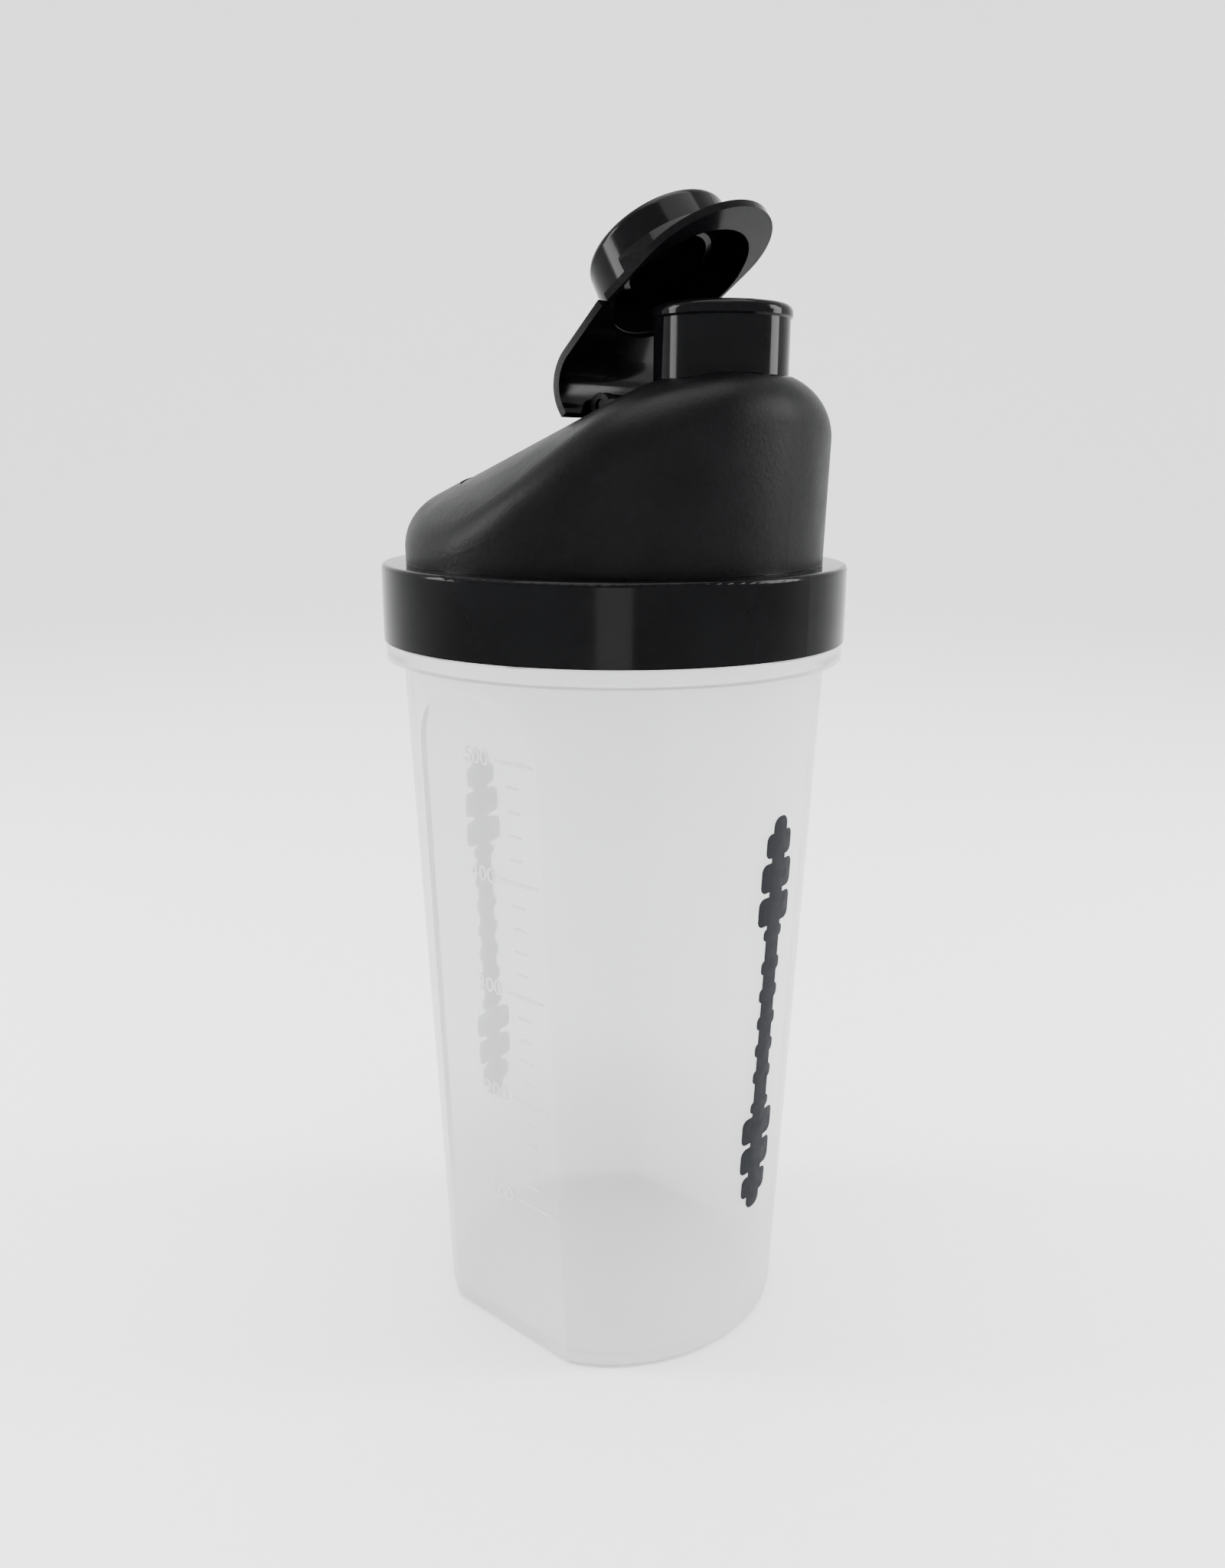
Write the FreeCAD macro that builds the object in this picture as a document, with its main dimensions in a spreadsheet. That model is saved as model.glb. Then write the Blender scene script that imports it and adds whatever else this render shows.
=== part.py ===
import FreeCAD, Part
import math
import os

import Sketcher
from FreeCAD import Placement, Rotation, Vector

# Protein shaker bottle: a tapered cup with two flat grips and a threaded neck, a screw lid whose sloping
# dome carries the drinking spout, a flip cap hinged on the dome, and a strainer that clips into the lid.
# Millimetres, +Z up, origin at the centre of the base, drinking spout towards +X.

DIMENSIONS = {
    # cup
    "base_radius": 37.8,
    "cup_taper": 0.0425,         # radius gained per millimetre of height
    "wall": 1.6,
    "floor_thick": 2.2,
    "foot_fillet": 1.8,
    "foot_recess": 0.8,
    "foot_rim": 6.0,
    "panel_foot": 33.8,          # distance from the axis to a flat grip, at the base
    "panel_taper": 0.0492,       # distance gained per millimetre of height
    "panel_height": 132.0,       # where a flat grip starts to run out
    "panel_runout": 30.0,        # radius of the run-out
    "panel_gap": 0.4,            # left between the run-out and the collar
    "collar_low": 148.6,
    "collar_high": 151.9,
    "collar_radius": 47.6,
    "neck_radius": 44.2,
    "rim_height": 164.4,
    "cup_turn": -90.0,           # direction of the first flat grip about the axis
    # screw thread
    "thread_lead": 5.0,
    "thread_turns": 1.25,
    "thread_start": 154.7,
    "thread_crest": 45.6,
    "thread_root_width": 2.2,
    "thread_crest_width": 1.2,
    "thread_bite": 0.4,
    "lid_thread_crest": 44.75,
    "lid_thread_lag": 0.25,      # the lid's thread starts this part of a turn after the cup's
    # lid
    "skirt_radius": 48.0,
    "skirt_wall": 1.6,
    "skirt_low": 152.3,
    "skirt_high": 167.6,
    "skirt_fillet": 0.9,
    "shoulder_thick": 1.8,
    "seal_radius": 39.6,
    "seal_thick": 1.1,
    "seal_low": 161.2,
    "dome_foot_radius": 43.0,
    "dome_top_radius": 44.1,
    "dome_top": 208.0,
    "dome_wall": 1.7,
    "dome_fillet": 8.8,
    "ridge_fillet": 16.0,
    "roof_slope": 20.3,
    "roof_height": 196.4,        # on the axis
    "roof_crown": 57.0,          # radius across the slope
    "landing_height": 204.2,
    "inset_radius": 32.6,
    "inset_shift": 1.5,
    "inset_depth": 0.3,
    # spout
    "spout_offset": 26.4,
    "spout_radius": 12.75,
    "spout_bore": 11.1,
    "spout_root": 196.0,
    "spout_top": 215.9,
    "bead_low": 213.2,
    "bead_radius": 13.15,
    "lip_fillet": 1.6,
    "lip_inner_fillet": 0.4,
    # flip cap, drawn closed
    "cap_open": 34.5,            # how far the cap stands open at rest
    "plate_low": 210.0,
    "plate_thick": 1.5,
    "plate_half_width": 15.0,
    "tip_offset": 32.5,          # centre of the thumb tab's round end
    "drum_radius": 14.9,
    "drum_top_radius": 14.2,
    "drum_high": 220.8,
    "drum_fillet": 1.8,
    "drum_foot_radius": 16.3,    # the drum's foot spreads on the tab's side
    "drum_foot_rise": 4.5,
    "drum_ceiling": 1.5,
    "mouth_radius": 13.9,
    "mouth_lean": 21.0,          # the mouth flares towards the tab to swing over the spout
    "mouth_pivot": 211.05,
    "mouth_chamfer": 0.4,
    "plug_radius": 10.7,
    "plug_tip_radius": 9.2,
    "plug_wall": 1.1,
    "plug_low": 214.9,
    # hinge
    "hinge_offset": 5.16,
    "hinge_height": 198.16,
    "barrel_radius": 2.2,
    "barrel_half_length": 7.5,
    "pin_radius": 1.2,
    "pin_clearance": 0.06,
    "pin_end": 9.9,
    "lug_gap": 0.3,
    "lug_radius": 2.4,
    "lug_end": 10.4,
    "lug_rise": 1.1,
    "tail_radius": 9.0,          # round back of the cap's tail
    "tail_across": 8.0,          # centre of that round
    "tail_up": 200.7,
    "tail_low": 199.7,
    "tail_slope": 9.0,
    "well_radius": 9.9,          # room under the tail as the cap swings open
    "well_front": 2.7,
    "well_half_length": 15.6,
    "well_wall": 1.6,
    # strainer
    "strainer_radius": 44.0,
    "strainer_skirt": 42.0,
    "strainer_skirt_wall": 0.9,
    "strainer_flange": 1.1,
    "strainer_low": 158.0,
    "strainer_floor": 1.2,
    "grid_bar": 1.3,
    "grid_hub": 6.0,
    "grid_pitch": 5.7,
    "grid_rings": 6,
    "grid_sectors": 24,
}

SHEET = "Dimensions"
REACH = 120.0    # half length of the long construction solids, well past the object


def make_sheet(doc):
    sheet = doc.addObject("Spreadsheet::Sheet", SHEET)
    for row, (alias, value) in enumerate(DIMENSIONS.items(), start=1):
        sheet.set(f"A{row}", alias)
        sheet.set(f"B{row}", str(value))
        sheet.setAlias(f"B{row}", alias)
    doc.recompute()
    return sheet


def qualified(doc, expression):
    """The same expression with each alias read from the sheet by name."""
    words = []
    word = ""
    for letter in expression + " ":
        if letter.isalnum() or letter == "_":
            word += letter
            continue
        words.append(f"{SHEET}.{word}" if word in DIMENSIONS else word)
        words.append(letter)
        word = ""
    return "".join(words).strip()


def number(doc, expression):
    value = doc.getObject(SHEET).evalExpression(expression)
    return float(getattr(value, "Value", value))


def bind(obj, **expressions):
    """Tie properties to the sheet; a double underscore in a name stands for a dot."""
    for name, expression in expressions.items():
        obj.setExpression(name.replace("__", "."), qualified(obj.Document, expression))
    return obj


def primitive(doc, kind, name, across="0", along="0", up="0", turn=None, **sizes):
    """A Part primitive placed at (across, along, up), turned by an angle about +Y or +X."""
    obj = doc.addObject(f"Part::{kind}", name)
    if turn:
        axis, angle = turn
        obj.Placement = Placement(Vector(), Rotation(axis, number(doc, angle)))
        bind(obj, Placement__Rotation__Angle=f"({angle}) * 1 deg")
    bind(obj, Placement__Base__x=across, Placement__Base__y=along, Placement__Base__z=up, **sizes)
    return obj


def boolean(doc, kind, name, shapes):
    obj = doc.addObject(f"Part::{kind}", name)
    if kind in ("Cut", "Fuse"):
        obj.Base, obj.Tool = shapes
    else:
        obj.Shapes = shapes
    obj.Refine = False
    doc.recompute()
    return obj


def fillet(doc, name, base, radius, chosen):
    """Round the edges of base that chosen() picks."""
    doc.recompute()
    size = number(doc, radius)
    picks = [(i, size, size) for i, edge in enumerate(base.Shape.Edges, start=1) if chosen(edge)]
    obj = doc.addObject("Part::Fillet", name)
    obj.Base = base
    obj.Edges = picks
    doc.recompute()
    return obj


def origin_plane(body, role):
    return next(f for f in body.Origin.OriginFeatures if f.Role == role)


def new_sketch(body, name, plane):
    sketch = body.newObject("Sketcher::SketchObject", name)
    sketch.AttachmentSupport = [(origin_plane(body, plane), "")]
    sketch.MapMode = "FlatFace"
    return sketch


def drive_point(sketch, geometry, place, across, up):
    """Hold one end of a sketch line at two expressions, measured from the sketch's origin."""
    doc = sketch.Document
    for kind, expression in (("DistanceX", across), ("DistanceY", up)):
        value = number(doc, expression)
        index = sketch.addConstraint(Sketcher.Constraint(kind, -1, 1, geometry, place, value))
        sketch.setExpression(f"Constraints[{index}]", qualified(doc, expression))


def add_polygon(sketch, points):
    """A closed polygon whose corners are pairs of expressions."""
    doc = sketch.Document
    corners = [Vector(number(doc, a), number(doc, b), 0) for a, b in points]
    first = sketch.GeometryCount
    for i, corner in enumerate(corners):
        sketch.addGeometry(Part.LineSegment(corner, corners[(i + 1) % len(corners)]), False)
    for i in range(len(corners)):
        following = first + (i + 1) % len(corners)
        sketch.addConstraint(Sketcher.Constraint("Coincident", first + i, 2, following, 1))
    for i, (across, up) in enumerate(points):
        drive_point(sketch, first + i, 1, across, up)


def revolved_body(doc, name, points):
    body = doc.addObject("PartDesign::Body", name)
    sketch = new_sketch(body, f"{name}_section", "XZ_Plane")
    add_polygon(sketch, points)
    revolution = body.newObject("PartDesign::Revolution", f"{name}_turned")
    revolution.Profile = sketch
    revolution.ReferenceAxis = (sketch, ["V_Axis"])
    doc.recompute()
    return body


def thread_body(doc, name, start, root, crest):
    """One helical ridge whose trapezium runs from radius root to radius crest."""
    body = doc.addObject("PartDesign::Body", name)
    sketch = new_sketch(body, f"{name}_section", "XZ_Plane")
    add_polygon(sketch, [
        (root, f"{start} - thread_root_width / 2"),
        (crest, f"{start} - thread_crest_width / 2"),
        (crest, f"{start} + thread_crest_width / 2"),
        (root, f"{start} + thread_root_width / 2"),
    ])
    helix = body.newObject("PartDesign::AdditiveHelix", f"{name}_ridge")
    helix.Profile = sketch
    helix.ReferenceAxis = (sketch, ["V_Axis"])
    helix.Mode = "pitch-turns-angle"
    bind(helix, Pitch="thread_lead", Turns="thread_turns")
    doc.recompute()
    return body


# cup

def cut_grips(doc, body, name, inset):
    """Cut both flat grips, each running out in an arc under the collar; inset moves them inwards."""
    sketch = new_sketch(body, f"{name}_section", "XZ_Plane")
    tilt = "atan(panel_taper)"
    corner = f"panel_foot + panel_taper * panel_height - {inset} / cos({tilt})"
    foot = f"panel_foot - panel_taper - {inset} / cos({tilt})"
    radius = f"panel_runout + {inset}"
    top = "collar_low - panel_gap"
    outer = "collar_radius * 1.3"
    centre_across = f"{corner} + ({radius}) * cos({tilt})"
    centre_up = f"panel_height - ({radius}) * sin({tilt})"
    rise = f"({top} - ({centre_up}))"
    end_across = f"{centre_across} - sqrt(({radius}) ^ 2 - {rise} ^ 2)"

    def point(across, up):
        return Vector(number(doc, across), number(doc, up), 0)

    bottom_out, bottom_in = point(outer, "-1"), point(foot, "-1")
    arc_start, arc_end, top_out = point(corner, "panel_height"), point(end_across, top), point(outer, top)
    centre = point(centre_across, centre_up)
    start_angle = math.atan2(arc_end.y - centre.y, arc_end.x - centre.x)
    end_angle = math.atan2(arc_start.y - centre.y, arc_start.x - centre.x)
    circle = Part.Circle(centre, Vector(0, 0, 1), number(doc, radius))
    sketch.addGeometry(Part.LineSegment(bottom_out, bottom_in), False)
    sketch.addGeometry(Part.LineSegment(bottom_in, arc_start), False)
    sketch.addGeometry(Part.ArcOfCircle(circle, start_angle, end_angle % (2 * math.pi)), False)
    sketch.addGeometry(Part.LineSegment(arc_end, top_out), False)
    sketch.addGeometry(Part.LineSegment(top_out, bottom_out), False)
    for first, first_end, second, second_end in ((0, 2, 1, 1), (1, 2, 2, 2), (2, 1, 3, 1), (3, 2, 4, 1), (4, 2, 0, 1)):
        sketch.addConstraint(Sketcher.Constraint("Coincident", first, first_end, second, second_end))
    drive_point(sketch, 0, 1, outer, "-1")
    drive_point(sketch, 0, 2, foot, "-1")
    drive_point(sketch, 1, 2, corner, "panel_height")
    drive_point(sketch, 2, 3, centre_across, centre_up)
    drive_point(sketch, 3, 2, outer, top)
    sketch.addConstraint(Sketcher.Constraint("Horizontal", 3))
    doc.recompute()
    pocket = body.newObject("PartDesign::Pocket", f"{name}_grip")
    pocket.Profile = sketch
    pocket.SideType = "Symmetric"
    bind(pocket, Length="collar_radius * 4")
    doc.recompute()
    pair = body.newObject("PartDesign::PolarPattern", f"{name}_grips")
    pair.Originals = [pocket]
    pair.Axis = (origin_plane(body, "Z_Axis"), [""])
    pair.Angle = 360
    pair.Occurrences = 2
    body.Tip = pair
    doc.recompute()


def make_cup(doc):
    outside = revolved_body(doc, "cup_outside", [
        ("0", "foot_recess"),
        ("base_radius - foot_rim", "foot_recess"),
        ("base_radius - foot_rim + foot_recess", "0"),
        ("base_radius", "0"),
        ("base_radius + cup_taper * collar_low", "collar_low"),
        ("collar_radius", "collar_low"),
        ("collar_radius", "collar_high"),
        ("neck_radius", "collar_high"),
        ("neck_radius", "rim_height"),
        ("0", "rim_height"),
    ])
    cut_grips(doc, outside, "outside", "0")
    cavity = revolved_body(doc, "cup_cavity", [
        ("0", "floor_thick"),
        ("base_radius + cup_taper * floor_thick - wall", "floor_thick"),
        ("base_radius + cup_taper * collar_low - wall", "collar_low"),
        ("neck_radius - wall", "collar_high"),
        ("neck_radius - wall", "rim_height + 1"),
        ("0", "rim_height + 1"),
    ])
    cut_grips(doc, cavity, "cavity", "wall")
    thread = thread_body(doc, "cup_thread", "thread_start", "neck_radius - thread_bite", "thread_crest")
    rounded = fillet(doc, "cup_foot", outside, "foot_fillet", lambda edge: is_foot_edge(doc, edge))
    soft_floor = fillet(doc, "cup_floor", cavity, "foot_fillet", lambda edge: is_floor_edge(doc, edge))
    threaded = boolean(doc, "MultiFuse", "cup_threaded", [rounded, thread])
    cup = boolean(doc, "Cut", "cup", [threaded, soft_floor])
    cup.Placement = Placement(Vector(), Rotation(Vector(0, 0, 1), number(doc, "cup_turn")))
    return cup


def at_height(edge, height):
    return all(abs(vertex.Z - height) < 1e-4 for vertex in edge.Vertexes)


def is_foot_edge(doc, edge):
    """An edge of the outline that the cup stands on."""
    outermost = number(doc, "base_radius") - 0.5
    return at_height(edge, 0) and all(math.hypot(v.X, v.Y) > outermost for v in edge.Vertexes)


def is_floor_edge(doc, edge):
    return at_height(edge, number(doc, "floor_thick"))


# strainer

def make_strainer(doc):
    body = revolved_body(doc, "strainer_body", [
        ("0", "strainer_low"),
        ("strainer_skirt", "strainer_low"),
        ("strainer_skirt", "rim_height"),
        ("strainer_radius", "rim_height"),
        ("strainer_radius", "rim_height + strainer_flange"),
        ("strainer_skirt - strainer_skirt_wall", "rim_height + strainer_flange"),
        ("strainer_skirt - strainer_skirt_wall", "strainer_low + strainer_floor"),
        ("0", "strainer_low + strainer_floor"),
    ])
    sketch = new_sketch(body, "strainer_windows", "XY_Plane")
    for ring in range(DIMENSIONS["grid_rings"]):
        inner = f"grid_hub + {ring} * grid_pitch"
        outer = f"{inner} + grid_pitch - grid_bar"
        add_polygon(sketch, [
            (inner, window_edge(inner, "-1")),
            (outer, window_edge(outer, "-1")),
            (outer, window_edge(outer, "1")),
            (inner, window_edge(inner, "1")),
        ])
    doc.recompute()
    windows = body.newObject("PartDesign::Pocket", "strainer_window_row")
    windows.Profile = sketch
    windows.Type = "ThroughAll"
    windows.SideType = "Symmetric"
    doc.recompute()
    grid = body.newObject("PartDesign::PolarPattern", "strainer_grid")
    grid.Originals = [windows]
    grid.Axis = (origin_plane(body, "Z_Axis"), [""])
    grid.Angle = 360
    bind(grid, Occurrences="grid_sectors")
    body.Tip = grid
    doc.recompute()
    body.Label = "strainer"
    return body


def window_edge(radius, side):
    """How far off the middle line a window reaches at a radius, leaving half a bar beside it."""
    return f"{side} * (({radius}) * tan(180 / grid_sectors) - grid_bar / 2)"


# lid

def crown(doc, name, height, slope, inset):
    """A long cylinder whose top line has the given height on the axis and slopes down to -X."""
    radius = f"(roof_crown - {inset})"
    obj = doc.addObject("Part::Cylinder", name)
    turn = number(doc, f"90 - {slope}")
    obj.Placement = Placement(Vector(), Rotation(Vector(0, 1, 0), turn))
    bind(obj, Radius=radius, Height=str(2 * REACH), Placement__Rotation__Angle=f"(90 - {slope}) * 1 deg",
         Placement__Base__x=f"roof_crown * sin({slope}) - {REACH} * cos({slope})",
         Placement__Base__z=f"{height} - roof_crown * cos({slope}) - {REACH} * sin({slope})")
    return obj


def roof_block(doc, name, inset):
    """Everything under the roof: the long slope, then the level landing for the spout."""
    slope = crown(doc, f"{name}_slope", "roof_height", "roof_slope", inset)
    landing = crown(doc, f"{name}_landing", "landing_height", "0", inset)
    both = boolean(doc, "MultiCommon", f"{name}_both", [slope, landing])
    return fillet(doc, name, both, f"ridge_fillet - {inset}", is_ridge)


def is_ridge(edge):
    """The long edge over the top, where the slope meets the landing."""
    box = edge.BoundBox
    return box.YLength > 60 and box.XMin > 0 and box.XMax < REACH / 2


def dome_block(doc, name, inset):
    wall = primitive(doc, "Cone", f"{name}_wall", up="skirt_high",
                     Radius1=f"dome_foot_radius - {inset}", Radius2=f"dome_top_radius - {inset}",
                     Height="dome_top - skirt_high")
    roof = roof_block(doc, f"{name}_roof", inset)
    both = boolean(doc, "MultiCommon", f"{name}_both", [wall, roof])
    foot = number(doc, "skirt_high")
    return fillet(doc, name, both, f"dome_fillet - {inset}", lambda edge: is_dome_rim(edge, foot))


def is_dome_rim(edge, foot):
    """An edge where the roof meets the wall."""
    spots = [edge.valueAt(edge.FirstParameter + t * (edge.LastParameter - edge.FirstParameter))
             for t in (0.25, 0.5, 0.75)]
    return all(spot.z > foot + 5 and math.hypot(spot.x, spot.y) > 39 for spot in spots)


def make_dome(doc):
    """The solid dome, with the shallow inset on its roof, and the space inside it."""
    outside = dome_block(doc, "dome_outside", "0")
    inset_disc = primitive(doc, "Cylinder", "inset_disc", across="inset_shift", up="roof_height - 30",
                           Radius="inset_radius", Height="60")
    inset_floor = roof_block(doc, "inset_floor", "inset_depth")
    inset = boolean(doc, "Cut", "roof_inset", [inset_disc, inset_floor])
    dome = boolean(doc, "Cut", "dome", [outside, inset])
    space = dome_block(doc, "dome_space", "dome_wall")
    return dome, space


def make_spout(doc):
    """The spout's tube, its lip turned out into a bead that the flip cap passes over."""
    tube = revolved_body(doc, "spout_tube", [
        ("spout_bore", "spout_root"),
        ("spout_radius", "spout_root"),
        ("spout_radius", "bead_low"),
        ("bead_radius", "bead_low + bead_radius - spout_radius"),
        ("bead_radius", "spout_top"),
        ("spout_bore", "spout_top"),
    ])
    bind(tube, Placement__Base__x="spout_offset")
    top = number(doc, "spout_top")
    bead = number(doc, "bead_radius")
    outer = fillet(doc, "spout_lip", tube, "lip_fillet",
                   lambda edge: at_height(edge, top) and edge.BoundBox.YMax > bead - 0.1)
    return fillet(doc, "spout", outer, "lip_inner_fillet",
                  lambda edge: at_height(edge, top) and edge.BoundBox.YMax < bead - 1.5)


def hinge_cylinder(doc, name, radius, start, end):
    """A round bar along the hinge axis, between two distances from the middle plane."""
    return primitive(doc, "Cylinder", name, across="hinge_offset", along=end, up="hinge_height",
                     turn=(Vector(1, 0, 0), "90"), Radius=radius, Height=f"{end} - ({start})")


def well_block(doc, name, grow):
    """A round hollow about the hinge axis, ending just in front of it."""
    half = f"(well_half_length + {grow})"
    bar = hinge_cylinder(doc, f"{name}_bar", f"well_radius + {grow}", f"-{half}", half)
    box = primitive(doc, "Box", f"{name}_box", across=f"hinge_offset + well_front + {grow} - {REACH}",
                    along=f"-{half}", up="hinge_height - 30",
                    Length=str(REACH), Width=f"2 * {half}", Height="60")
    return boolean(doc, "MultiCommon", name, [bar, box])


def make_lugs(doc):
    lugs = []
    for side, near, far in (("left", "barrel_half_length + lug_gap", "lug_end"),
                            ("right", "-lug_end", "-barrel_half_length - lug_gap")):
        lugs.append(hinge_cylinder(doc, f"lug_{side}", "lug_radius", near, far))
        lugs.append(primitive(doc, "Box", f"lug_foot_{side}", across="hinge_offset", along=near,
                              up="hinge_height - lug_radius", Length="well_front + well_wall",
                              Width=f"{far} - ({near})", Height="lug_radius + lug_rise"))
    return lugs


def make_lid(doc):
    skirt = revolved_body(doc, "lid_skirt", [
        ("seal_radius", "seal_low"),
        ("seal_radius + seal_thick", "seal_low"),
        ("seal_radius + seal_thick", "skirt_high - shoulder_thick"),
        ("skirt_radius - skirt_wall", "skirt_high - shoulder_thick"),
        ("skirt_radius - skirt_wall", "skirt_low"),
        ("skirt_radius", "skirt_low"),
        ("skirt_radius", "skirt_high"),
        ("seal_radius", "skirt_high"),
    ])
    shoulder = number(doc, "skirt_radius")
    skirt_edge = fillet(doc, "lid_skirt_edge", skirt, "skirt_fillet",
                        lambda edge: at_height(edge, number(doc, "skirt_high"))
                        and edge.BoundBox.XMax > shoulder - 0.1)
    start = "thread_start - thread_lead / 2 + thread_lead * lid_thread_lag"
    thread = thread_body(doc, "lid_thread", start, "skirt_radius - skirt_wall + thread_bite",
                         "lid_thread_crest")
    threaded_skirt = boolean(doc, "MultiFuse", "lid_threaded_skirt", [skirt_edge, thread])
    dome, space = make_dome(doc)
    well_wall = well_block(doc, "well_wall_block", "well_wall")
    hollow = boolean(doc, "Cut", "dome_hollow", [space, well_wall])
    bore = primitive(doc, "Cylinder", "spout_bore_hole", across="spout_offset", up="spout_root - 1",
                     Radius="spout_bore", Height="spout_top - spout_root + 2")
    top = boolean(doc, "MultiFuse", "lid_top", [dome, make_spout(doc)])
    for tool in (hollow, bore, well_block(doc, "well", "0")):
        top = boolean(doc, "Cut", f"lid_top_less_{tool.Name}", [top, tool])
    for lug in make_lugs(doc):
        top = boolean(doc, "Fuse", f"lid_top_with_{lug.Name}", [top, lug])
    pin_hole = hinge_cylinder(doc, "pin_hole", "pin_radius + pin_clearance", "-lug_end - 1", "lug_end + 1")
    drilled = boolean(doc, "Cut", "lid_drilled", [top, pin_hole])
    return boolean(doc, "Fuse", "lid", [drilled, threaded_skirt])


# flip cap

def tail_section(doc):
    """The bent sheet from the plate down to the tail's end, as a closed section in the middle plane."""
    body = doc.addObject("PartDesign::Body", "cap_tail")
    sketch = new_sketch(body, "cap_tail_section", "XZ_Plane")
    across, up, low = "tail_across", "tail_up", "tail_low"
    high = "plate_low + plate_thick"

    def corners(radius):
        """Round's lower end, round's upper end, and where the slope meets the plate's top."""
        lean = f"({radius}) * sin(tail_slope)"
        rise = f"({radius}) * cos(tail_slope)"
        return f"{across} - {lean}", f"{up} + {rise}"

    outer, inner = "tail_radius", "(tail_radius - plate_thick)"
    outer_x, outer_z = corners(outer)
    inner_x, inner_z = corners(inner)
    meet_outer = f"{outer_x} + ({high} - ({outer_z})) / tan(tail_slope)"
    meet_inner = f"{inner_x} + (plate_low - ({inner_z})) / tan(tail_slope)"
    points = [
        (f"{across} - {outer}", low),
        (f"{across} - {outer}", up),
        (outer_x, outer_z),
        (meet_outer, high),
        (meet_inner, "plate_low"),
        (inner_x, inner_z),
        (f"{across} - {inner}", up),
        (f"{across} - {inner}", low),
    ]
    spots = [Vector(number(doc, a), number(doc, b), 0) for a, b in points]
    centre = Vector(number(doc, across), number(doc, up), 0)
    for i, spot in enumerate(spots):
        following = spots[(i + 1) % len(spots)]
        if i in (1, 5):
            circle = Part.Circle(centre, Vector(0, 0, 1), (spot - centre).Length)
            angles = sorted(math.atan2(p.y - centre.y, p.x - centre.x) % (2 * math.pi)
                            for p in (spot, following))
            sketch.addGeometry(Part.ArcOfCircle(circle, *angles), False)
        else:
            sketch.addGeometry(Part.LineSegment(spot, following), False)
    # an arc runs anticlockwise, so the outer round meets the line below it at its own end
    ends = {1: (2, 1), 5: (1, 2)}
    for i in range(len(spots)):
        following = (i + 1) % len(spots)
        leaving = ends.get(i, (1, 2))[1]
        entering = ends.get(following, (1, 2))[0]
        sketch.addConstraint(Sketcher.Constraint("Coincident", i, leaving, following, entering))
    for i in (1, 5):
        drive_point(sketch, i, 3, across, up)
    for i in (0, 2, 3, 4, 6, 7):
        drive_point(sketch, i, 1, *points[i])
    doc.recompute()
    pad = body.newObject("PartDesign::Pad", "cap_tail_sheet")
    pad.Profile = sketch
    pad.SideType = "Symmetric"
    bind(pad, Length="2 * plate_half_width")
    doc.recompute()
    return body


def web_section(doc):
    """The arm from the tail's end forward to the hinge barrel, between the lugs."""
    body = doc.addObject("PartDesign::Body", "cap_web")
    sketch = new_sketch(body, "cap_web_section", "XZ_Plane")
    back = "tail_across - tail_radius"
    add_polygon(sketch, [
        (back, "tail_low"),
        ("hinge_offset - barrel_radius * sin(14)", "hinge_height - barrel_radius * cos(14)"),
        ("hinge_offset + barrel_radius * sin(14)", "hinge_height + barrel_radius * cos(14)"),
        (f"{back} + plate_thick", "tail_low + 2 * plate_thick"),
        (back, "tail_low + 2 * plate_thick"),
    ])
    doc.recompute()
    pad = body.newObject("PartDesign::Pad", "cap_web_arm")
    pad.Profile = sketch
    pad.SideType = "Symmetric"
    bind(pad, Length="2 * barrel_half_length")
    doc.recompute()
    return body


def make_mouth(doc):
    """The space inside the drum, flared at its front so that it swings over the spout."""
    straight = primitive(doc, "Cylinder", "mouth_straight", across="spout_offset", up="plate_low - 1",
                         Radius="mouth_radius", Height="drum_high - drum_ceiling - plate_low + 1")
    chamfer = primitive(doc, "Cone", "mouth_edge", across="spout_offset", up="plate_low",
                        Radius1="mouth_radius + mouth_chamfer", Radius2="mouth_radius",
                        Height="mouth_chamfer")
    leaning = primitive(doc, "Cylinder", "mouth_leaning", across="spout_offset + 10 * sin(mouth_lean)",
                        up="mouth_pivot - 10 * cos(mouth_lean)", turn=(Vector(0, -1, 0), "mouth_lean"),
                        Radius="mouth_radius", Height="20")
    front = primitive(doc, "Box", "mouth_front", across="spout_offset", along="-mouth_radius",
                      up="plate_low - 1", Length="2 * mouth_radius", Width="2 * mouth_radius",
                      Height="drum_high - drum_ceiling - plate_low")
    flare = boolean(doc, "MultiCommon", "mouth_flare", [leaning, front])
    return boolean(doc, "MultiFuse", "mouth", [straight, chamfer, flare])


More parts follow.
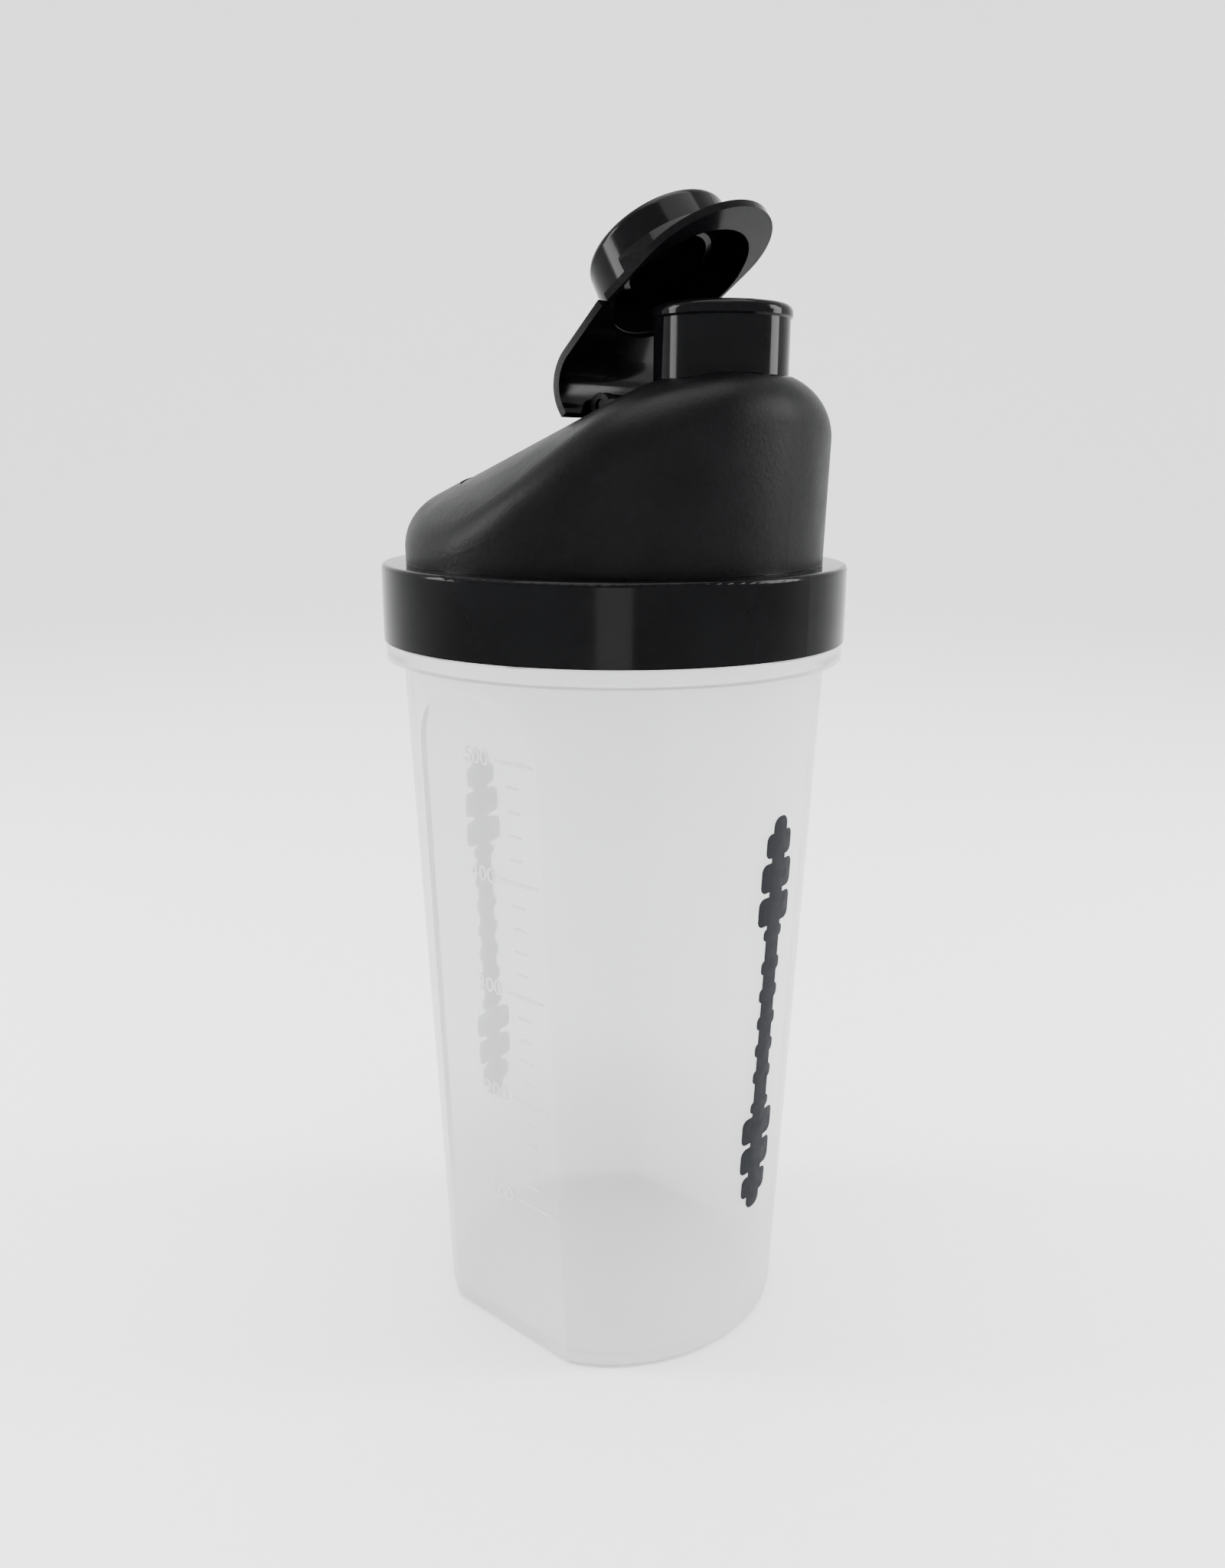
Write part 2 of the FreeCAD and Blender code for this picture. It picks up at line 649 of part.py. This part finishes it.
def make_flip_cap(doc):
    tail = tail_section(doc)
    web = web_section(doc)
    plate = primitive(doc, "Box", "cap_plate", across="spout_offset - 6", along="-plate_half_width",
                      up="plate_low", Length="tip_offset - spout_offset + 6",
                      Width="2 * plate_half_width", Height="plate_thick")
    tab = primitive(doc, "Cylinder", "cap_tab", across="tip_offset", up="plate_low",
                    Radius="plate_half_width", Height="plate_thick")
    drum = primitive(doc, "Cone", "cap_drum", across="spout_offset", up="plate_low",
                     Radius1="drum_radius", Radius2="drum_top_radius", Height="drum_high - plate_low")
    drum_top = number(doc, "drum_high")
    drum_rounded = fillet(doc, "cap_drum_rounded", drum, "drum_fillet",
                          lambda edge: at_height(edge, drum_top))
    foot_cone = primitive(doc, "Cone", "drum_foot_cone", across="spout_offset", up="plate_low",
                          Radius1="drum_foot_radius", Radius2="drum_radius - 0.2", Height="drum_foot_rise")
    foot_front = primitive(doc, "Box", "drum_foot_front", across="spout_offset",
                           along="-plate_half_width", up="plate_low", Length="drum_foot_radius",
                           Width="2 * plate_half_width", Height="drum_foot_rise")
    foot = boolean(doc, "MultiCommon", "drum_foot", [foot_cone, foot_front])
    barrel = hinge_cylinder(doc, "cap_barrel", "barrel_radius", "-barrel_half_length", "barrel_half_length")
    pins = hinge_cylinder(doc, "cap_pins", "pin_radius", "-pin_end", "pin_end")
    solid = boolean(doc, "MultiFuse", "cap_solid", [tail, web, plate, tab, drum_rounded, foot, barrel, pins])
    hollow = boolean(doc, "Cut", "cap_hollow", [solid, make_mouth(doc)])
    plug = revolved_body(doc, "cap_plug", [
        ("plug_tip_radius - plug_wall", "plug_low"),
        ("plug_tip_radius", "plug_low"),
        ("plug_radius", "spout_top"),
        ("plug_radius", "drum_high - drum_ceiling / 2"),
        ("plug_radius - plug_wall", "drum_high - drum_ceiling / 2"),
        ("plug_radius - plug_wall", "spout_top"),
    ])
    bind(plug, Placement__Base__x="spout_offset")
    cap = boolean(doc, "MultiFuse", "flip_cap", [hollow, plug])
    cap.Placement = Placement(Vector(), Rotation(Vector(0, -1, 0), number(doc, "cap_open")),
                              Vector(number(doc, "hinge_offset"), 0, number(doc, "hinge_height")))
    doc.recompute()
    return cap


# the whole assembly

def export(doc, nodes):
    os.makedirs("parts", exist_ok=True)
    doc.recompute()
    for obj in doc.Objects:
        if "Invalid" in obj.State or "Error" in obj.State:
            raise RuntimeError(f"{obj.Name} did not build: {obj.State}")
    for name, node in nodes.items():
        node.Label = name
        shape = node.Shape
        if shape.isNull() or not shape.isValid() or len(shape.Solids) != 1:
            raise RuntimeError(f"{name} is not one valid solid")
        shape.exportStep(f"parts/{name}.step")


def main():
    doc = FreeCAD.newDocument("protein_shaker")
    make_sheet(doc)
    export(doc, {
        "cup": make_cup(doc),
        "strainer": make_strainer(doc),
        "lid": make_lid(doc),
        "flip_cap": make_flip_cap(doc),
    })


main()
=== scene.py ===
import math

import bpy
from mathutils import Matrix, Vector


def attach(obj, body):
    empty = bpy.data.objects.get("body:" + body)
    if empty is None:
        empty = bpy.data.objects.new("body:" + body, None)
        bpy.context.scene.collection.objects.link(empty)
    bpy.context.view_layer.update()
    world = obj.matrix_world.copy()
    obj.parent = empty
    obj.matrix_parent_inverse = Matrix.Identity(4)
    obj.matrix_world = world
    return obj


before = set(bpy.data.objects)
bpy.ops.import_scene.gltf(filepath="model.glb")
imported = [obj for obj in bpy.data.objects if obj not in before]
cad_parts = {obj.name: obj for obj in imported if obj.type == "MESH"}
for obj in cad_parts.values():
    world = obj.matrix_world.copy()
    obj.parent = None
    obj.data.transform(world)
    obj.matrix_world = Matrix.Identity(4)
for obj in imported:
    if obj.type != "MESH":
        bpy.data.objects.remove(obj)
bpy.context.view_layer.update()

MM = 0.001

# sizes of the solids that the details follow, in metres
BASE_RADIUS = 37.8 * MM      # the cup's cone at its foot, and its growth per metre of height
CUP_TAPER = 0.0425
PANEL_FOOT = 33.8 * MM       # the flat grip's distance from the axis, and its growth
PANEL_TAPER = 0.0492
MILKY_HEIGHT = 45 * MM       # the cup's wall is thicker and milkier below this height
SKIRT_TOP = 167.6 * MM
SPOUT_OFFSET = 26.4 * MM
SPOUT_RADIUS = 13.0 * MM

# print and moulded scale
MARK_MIDDLE = 75.5 * MM
GRIP_RINGS = 5
GRIP_PITCH = 6.2
PATCH_ROWS = 14
PATCH_COLUMNS = 6
INK_LIFT = 0.05 * MM
INK_THICK = 0.04 * MM
SCALE_FIRST = 35.8 * MM      # height of the 100 ml tick
SCALE_STEP = 24.2 * MM       # height per 100 ml
SCALE_HUNDREDS = 5


# materials

class Tree:
    """A material's nodes, with short calls for adding and joining them."""

    def __init__(self, name):
        self.material = bpy.data.materials.new(name)
        self.material.use_nodes = True
        self.nodes = self.material.node_tree.nodes
        self.links = self.material.node_tree.links
        self.nodes.clear()
        self.output = self.nodes.new("ShaderNodeOutputMaterial")
        self.coords = self.nodes.new("ShaderNodeTexCoord").outputs["Object"]

    def add(self, kind, settings=None, **inputs):
        node = self.nodes.new(kind)
        for key, value in (settings or {}).items():
            setattr(node, key, value)
        for key, value in inputs.items():
            self.put(node.inputs[key.replace("_", " ")], value)
        return node

    def put(self, socket, value):
        if isinstance(value, bpy.types.NodeSocket):
            self.links.new(value, socket)
        else:
            socket.default_value = value

    def noise(self, scale, detail=3.0, roughness=0.55, stretch=(1, 1, 1)):
        mapped = self.add("ShaderNodeMapping", Vector=self.coords, Scale=stretch)
        return self.add("ShaderNodeTexNoise", Vector=mapped.outputs["Vector"], Scale=scale,
                        Detail=detail, Roughness=roughness).outputs["Fac"]

    def remap(self, value, low, high, start=0.3, end=0.7):
        node = self.add("ShaderNodeMapRange", Value=value)
        node.inputs["From Min"].default_value = start
        node.inputs["From Max"].default_value = end
        node.inputs["To Min"].default_value = low
        node.inputs["To Max"].default_value = high
        return node.outputs["Result"]

    def math(self, operation, a, b=0.0):
        node = self.add("ShaderNodeMath", {"operation": operation})
        self.put(node.inputs[0], a)
        self.put(node.inputs[1], b)
        return node.outputs["Value"]

    def colours(self, factor, first, second):
        node = self.add("ShaderNodeMix", {"data_type": "RGBA"})
        self.put(node.inputs[0], factor)
        self.put(node.inputs[6], (*first, 1))
        self.put(node.inputs[7], (*second, 1))
        return node.outputs[2]

    def bump(self, height, distance, strength=1.0, normal=None):
        node = self.add("ShaderNodeBump", Height=height, Distance=distance, Strength=strength)
        if normal:
            self.put(node.inputs["Normal"], normal)
        return node.outputs["Normal"]

    def mix(self, factor, first, second):
        node = self.add("ShaderNodeMixShader")
        self.put(node.inputs[0], factor)
        self.put(node.inputs[1], first)
        self.put(node.inputs[2], second)
        return node.outputs["Shader"]

    def finish(self, shader):
        self.links.new(shader, self.output.inputs["Surface"])
        return self.material


def frosted_plastic():
    """Milky polypropylene: light comes through it, and what lies behind shows softly."""
    tree = Tree("frosted_polypropylene")
    cloud = tree.noise(28.0, 4.0)
    ripple = tree.noise(9.0, 2.0, stretch=(1, 1, 0.25))
    grain = tree.noise(2600.0, 2.0)
    normal = tree.bump(ripple, 0.0006, 0.25)
    fine = tree.bump(grain, 0.00002, 0.5, normal)
    milk = tree.colours(tree.remap(cloud, 0, 1), (0.78, 0.78, 0.77), (0.84, 0.845, 0.84))
    clear = tree.add("ShaderNodeBsdfPrincipled", Base_Color=(0.975, 0.985, 0.99, 1), IOR=1.15,
                     Roughness=tree.remap(cloud, 0.035, 0.07), Normal=normal)
    clear.inputs["Transmission Weight"].default_value = 1.0
    skin = tree.add("ShaderNodeBsdfPrincipled", Base_Color=milk, IOR=1.49,
                    Roughness=tree.remap(cloud, 0.30, 0.42), Normal=fine)
    through = tree.add("ShaderNodeBsdfTranslucent", Color=milk, Normal=normal)
    body = tree.mix(0.5, skin.outputs["BSDF"], through.outputs["BSDF"])
    height = tree.add("ShaderNodeSeparateXYZ", Vector=tree.coords).outputs["Z"]
    milkiness = tree.remap(height, 0.80, 0.34, 0.0, MILKY_HEIGHT)
    return tree.finish(tree.mix(milkiness, clear.outputs["BSDF"], body))


def black_plastic(name, rough_low, rough_high, wave=0.12):
    """Polished black polypropylene with faint moulding waves, dust and handling haze."""
    tree = Tree(name)
    haze = tree.noise(60.0, 5.0)
    speck = tree.noise(1500.0, 1.0)
    waves = tree.noise(14.0, 1.5)
    tint = tree.colours(tree.remap(haze, 0, 1), (0.0012, 0.0012, 0.0015), (0.0024, 0.0024, 0.0028))
    dusty = tree.remap(speck, 0.0, 0.10, 0.68, 0.80)
    rough = tree.math("ADD", tree.remap(haze, rough_low, rough_high), dusty)
    shader = tree.add("ShaderNodeBsdfPrincipled", Base_Color=tint, Roughness=rough, IOR=1.49,
                      Specular_IOR_Level=0.05, Normal=tree.bump(waves, 0.0006, wave))
    return tree.finish(shader.outputs["BSDF"])


def lid_plastic():
    """Black lid: polished skirt, spout and hinge, and a fine leather grain on the dome."""
    tree = Tree("lid_black_polypropylene")
    parts = tree.add("ShaderNodeSeparateXYZ", Vector=tree.coords)
    x, y, z = (parts.outputs[axis] for axis in "XYZ")
    aside = tree.math("SUBTRACT", x, SPOUT_OFFSET)
    off_spout = tree.math("SQRT", tree.math("ADD", tree.math("MULTIPLY", aside, aside),
                                            tree.math("MULTIPLY", y, y)))
    past_spout = tree.math("GREATER_THAN", off_spout, SPOUT_RADIUS + 0.3 * MM)
    above_skirt = tree.math("GREATER_THAN", z, SKIRT_TOP + 0.05 * MM)
    grained = tree.math("MULTIPLY", past_spout, above_skirt)
    haze = tree.noise(70.0, 5.0)
    waves = tree.noise(14.0, 1.5)
    pores = tree.add("ShaderNodeTexVoronoi", {"feature": "SMOOTH_F1"}, Vector=tree.coords,
                     Scale=1500.0).outputs["Distance"]
    soft = tree.noise(900.0, 3.0)
    leather = tree.math("MULTIPLY", tree.math("ADD", pores, soft), grained)
    smooth_rough = tree.remap(haze, 0.07, 0.15)
    grain_rough = tree.remap(haze, 0.36, 0.46)
    polished = tree.math("SUBTRACT", 1.0, grained)
    rough = tree.math("ADD", tree.math("MULTIPLY", smooth_rough, polished),
                      tree.math("MULTIPLY", grain_rough, grained))
    tint = tree.colours(tree.remap(haze, 0, 1), (0.0012, 0.0012, 0.0015), (0.0026, 0.0027, 0.0031))
    base = tree.bump(waves, 0.0005, 0.10)
    normal = tree.bump(leather, 0.00006, 0.55, base)
    shader = tree.add("ShaderNodeBsdfPrincipled", Base_Color=tint, Roughness=rough, IOR=1.49,
                      Specular_IOR_Level=0.05, Normal=normal)
    return tree.finish(shader.outputs["BSDF"])


def ink(name, dark, light):
    """Screen-printed ink with slightly worn, uneven cover."""
    tree = Tree(name)
    wear = tree.noise(420.0, 5.0)
    tint = tree.colours(tree.remap(wear, 0, 1), dark, light)
    shader = tree.add("ShaderNodeBsdfPrincipled", Base_Color=tint, IOR=1.45,
                      Specular_IOR_Level=0.06, Roughness=tree.remap(wear, 0.35, 0.55),
                      Normal=tree.bump(wear, 0.00003, 0.4))
    return tree.finish(shader.outputs["BSDF"])


def pale_paper():
    """Matt white studio paper."""
    tree = Tree("studio_paper")
    fibre = tree.noise(300.0, 4.0)
    tint = tree.colours(tree.remap(fibre, 0, 1), (0.90, 0.90, 0.90), (0.93, 0.93, 0.93))
    shader = tree.add("ShaderNodeBsdfPrincipled", Base_Color=tint,
                      Roughness=tree.remap(fibre, 0.75, 0.9))
    return tree.finish(shader.outputs["BSDF"])


# shapes

def cup_radius(height):
    return BASE_RADIUS + CUP_TAPER * height


def panel_distance(height):
    return PANEL_FOOT + PANEL_TAPER * height


def mesh_object(name, verts, faces, material):
    mesh = bpy.data.meshes.new(name)
    mesh.from_pydata(verts, [], faces)
    mesh.materials.append(material)
    mesh.update()
    obj = bpy.data.objects.new(name, mesh)
    bpy.context.scene.collection.objects.link(obj)
    return obj


def rounded_outline(width, height, radius, steps=6):
    """Corner-rounded rectangle about the origin, anticlockwise."""
    points = []
    for cx, cy, start in ((1, 1, 0), (-1, 1, 90), (-1, -1, 180), (1, -1, 270)):
        for i in range(steps + 1):
            angle = math.radians(start + 90 * i / steps)
            points.append((cx * (width / 2 - radius) + radius * math.cos(angle),
                           cy * (height / 2 - radius) + radius * math.sin(angle)))
    return points


def patch_levels(width, tall, round_by):
    """Heights of a patch's rows, close together where its corners are round."""
    corners = {round(point[1], 7) for point in rounded_outline(width, tall, round_by)}
    even = {round(-tall / 2 + tall * i / PATCH_ROWS, 7) for i in range(PATCH_ROWS + 1)}
    return sorted(corners | even)


def half_width(level, width, tall, round_by):
    """Half the width of a corner-rounded rectangle at a height from its middle."""
    over = abs(level) - (tall / 2 - round_by)
    if over <= 0:
        return width / 2
    return width / 2 - round_by + math.sqrt(max(round_by ** 2 - over ** 2, 0))


def printed_patch(name, side, height, width, tall, round_by, material):
    """A thin rounded patch of ink lying on the cup's cone, centred on side (degrees from +X)."""
    verts, faces = [], []
    levels = patch_levels(width, tall, round_by)
    for level in levels:
        radius = cup_radius(height + level) + INK_LIFT
        reach = half_width(level, width, tall, round_by)
        for column in range(PATCH_COLUMNS + 1):
            across = reach * (2 * column / PATCH_COLUMNS - 1)
            angle = math.radians(side) + across / radius
            verts.append((radius * math.cos(angle), radius * math.sin(angle), height + level))
    for row in range(len(levels) - 1):
        for column in range(PATCH_COLUMNS):
            a = row * (PATCH_COLUMNS + 1) + column
            faces.append((a, a + 1, a + PATCH_COLUMNS + 2, a + PATCH_COLUMNS + 1))
    obj = mesh_object(name, verts, faces, material)
    solid = obj.modifiers.new("thickness", "SOLIDIFY")
    solid.thickness = INK_THICK
    solid.offset = 1.0
    return obj


def barbell_mark(name, side, material):
    """A generic barbell standing upright: a long bar, grip rings and three plates at each end."""
    # name, height from the middle, width, height and corner radius, in millimetres
    pieces = [("bar", 0.0, 4.8, 89.0, 2.0)]
    for sign, end in ((1, "upper"), (-1, "lower")):
        pieces.append((f"{end}_collar", sign * 19.6, 6.6, 2.6, 1.0))
        pieces.append((f"{end}_inner_plate", sign * 24.8, 11.0, 6.2, 1.6))
        pieces.append((f"{end}_middle_plate", sign * 32.0, 10.6, 6.2, 1.6))
        pieces.append((f"{end}_outer_plate", sign * 38.7, 8.8, 5.2, 1.5))
    for count in range(GRIP_RINGS):
        pieces.append((f"grip_{count}", (count - GRIP_RINGS // 2) * GRIP_PITCH, 6.6, 3.2, 1.2))
    for label, along, width, tall, round_by in pieces:
        patch = printed_patch(f"{name}_{label}", side, MARK_MIDDLE + along * MM, width * MM,
                              tall * MM, round_by * MM, material)
        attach(patch, "cup_body")


def on_panel(obj, across, height):
    """Stand an XY-drawn object on the cup's flat grip at -Y, leaning with it."""
    lean = math.atan(PANEL_TAPER)
    turn = Matrix.Rotation(math.radians(90) + lean, 4, "X")
    place = Matrix.Translation((across, -panel_distance(height), height))
    obj.matrix_world = place @ turn
    return obj


def relief_bar(name, across, height, length, thick, material):
    """A moulded tick: a low rounded bar standing proud of the flat grip."""
    outline = rounded_outline(length, thick, thick * 0.45, 4)
    verts = [(x, y, -0.1 * MM) for x, y in outline]
    verts += [(x, y, 0.16 * MM) for x, y in outline]
    verts += [(x * (1 - 0.24 * MM / length), y * 0.6, 0.24 * MM) for x, y in outline]
    count = len(outline)
    faces = [tuple(reversed(range(count))), tuple(range(2 * count, 3 * count))]
    for ring in (0, count):
        for i in range(count):
            j = (i + 1) % count
            faces.append((ring + i, ring + j, ring + count + j, ring + count + i))
    obj = on_panel(mesh_object(name, verts, faces, material), across, height)
    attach(obj, "cup_body")


def relief_number(name, text, across, height, material):
    curve = bpy.data.curves.new(name, "FONT")
    curve.body = text
    curve.size = 4.6 * MM
    curve.extrude = 0.12 * MM
    curve.bevel_depth = 0.03 * MM
    curve.align_x = "RIGHT"
    curve.align_y = "CENTER"
    curve.materials.append(material)
    obj = bpy.data.objects.new(name, curve)
    bpy.context.scene.collection.objects.link(obj)
    on_panel(obj, across, height)
    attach(obj, "cup_body")


def volume_scale(material):
    """Ticks every 20 ml, a long one every 100 ml with its number beside it."""
    for hundred in range(SCALE_HUNDREDS):
        height = SCALE_FIRST + hundred * SCALE_STEP
        relief_bar(f"tick_{hundred + 1}00", 10 * MM, height, 10 * MM, 0.55 * MM, material)
        relief_number(f"number_{hundred + 1}00", f"{hundred + 1}00", 3.4 * MM, height, material)
        if hundred == SCALE_HUNDREDS - 1:
            continue
        for part in range(1, 5):
            relief_bar(f"tick_{hundred + 1}{2 * part}0", 9.5 * MM, height + part * SCALE_STEP / 5,
                       3.4 * MM, 0.4 * MM, material)


# studio

def studio_floor(material):
    """A pale sweep all round: level under the object, rising in a wide curve far off."""
    flat, curve, top = 1.3, 0.9, 1.1
    profile = [(0.0, 0.0), (0.4, 0.0), (flat, 0.0)]
    for degrees in range(10, 91, 10):
        angle = math.radians(degrees)
        profile.append((flat + curve * math.sin(angle), curve - curve * math.cos(angle)))
    profile.append((flat + curve, curve + top))
    around = 72
    verts = [(r * math.cos(2 * math.pi * k / around), r * math.sin(2 * math.pi * k / around), z)
             for r, z in profile[1:] for k in range(around)]
    faces = [tuple(range(around))]
    for ring in range(len(profile) - 2):
        for k in range(around):
            a, b = ring * around + k, ring * around + (k + 1) % around
            faces.append((a, a + around, b + around, b))
    floor = mesh_object("floor", verts, faces, material)
    for polygon in floor.data.polygons:
        polygon.use_smooth = True


def soft_light(name, place, target, width, height, power):
    light = bpy.data.lights.new(name, "AREA")
    light.shape = "RECTANGLE"
    light.size = width
    light.size_y = height
    light.energy = power
    obj = bpy.data.objects.new(name, light)
    bpy.context.scene.collection.objects.link(obj)
    direction = Vector(target) - Vector(place)
    obj.location = place
    obj.rotation_euler = direction.to_track_quat("-Z", "Y").to_euler()


def around(azimuth, distance, height):
    """A place round the object; azimuth 0 is in front (-Y) and 90 is at +X."""
    angle = math.radians(azimuth)
    return (distance * math.sin(angle), -distance * math.cos(angle), height)


def camera():
    azimuth, distance, height = math.radians(41.0), 0.26636, 0.18883
    pitch, roll, aside = math.radians(14.645), math.radians(0.25), -0.16 * MM
    right = Vector((math.cos(azimuth), math.sin(azimuth), 0))
    ahead = Vector((-math.sin(azimuth), math.cos(azimuth), 0))
    forward = ahead * math.cos(pitch) - Vector((0, 0, math.sin(pitch)))
    up = ahead * math.sin(pitch) + Vector((0, 0, math.cos(pitch)))
    right_rolled = right * math.cos(roll) + up * math.sin(roll)
    up_rolled = up * math.cos(roll) - right * math.sin(roll)
    data = bpy.data.cameras.new("camera")
    data.lens = 28.894
    data.sensor_width = 36.0
    data.clip_start = 0.01
    obj = bpy.data.objects.new("camera", data)
    bpy.context.scene.collection.objects.link(obj)
    turn = Matrix((right_rolled, up_rolled, -forward)).transposed().to_4x4()
    place = -ahead * distance + right * aside + Vector((0, 0, height))
    obj.matrix_world = Matrix.Translation(place) @ turn
    bpy.context.scene.camera = obj


def world_light(strength):
    world = bpy.data.worlds.new("studio")
    world.use_nodes = True
    background = world.node_tree.nodes["Background"]
    background.inputs["Color"].default_value = (1, 1, 1, 1)
    background.inputs["Strength"].default_value = strength
    bpy.context.scene.world = world


def main():
    cup = frosted_plastic()
    finishes = {
        "cup": cup,
        "lid": lid_plastic(),
        "flip_cap": black_plastic("cap_black_polypropylene", 0.07, 0.16),
        "strainer": black_plastic("strainer_black_polypropylene", 0.25, 0.38),
    }
    for name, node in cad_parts.items():
        node.data.materials.clear()
        node.data.materials.append(finishes[name])
    front_ink = ink("print_ink", (0.0025, 0.003, 0.0045), (0.006, 0.007, 0.010))
    back_ink = ink("back_print_ink", (0.010, 0.018, 0.045), (0.016, 0.028, 0.065))
    barbell_mark("front_mark", 2.0, front_ink)
    barbell_mark("back_mark", 180.0, back_ink)
    volume_scale(cup)
    studio_floor(pale_paper())
    world_light(1.8)
    soft_light("left_strip", around(-50, 0.75, 0.42), (0, 0, 0.2), 0.20, 0.5, 8.0)
    soft_light("right_strip", around(132, 0.75, 0.42), (0, 0, 0.2), 0.20, 0.5, 8.0)
    soft_light("front_panel", around(41, 0.7, 0.085), (0, 0, 0.15), 0.20, 0.15, 0.5)
    soft_light("overhead", (0, 0, 1.6), (0, 0, 0), 1.2, 1.2, 30.0)
    camera()


main()
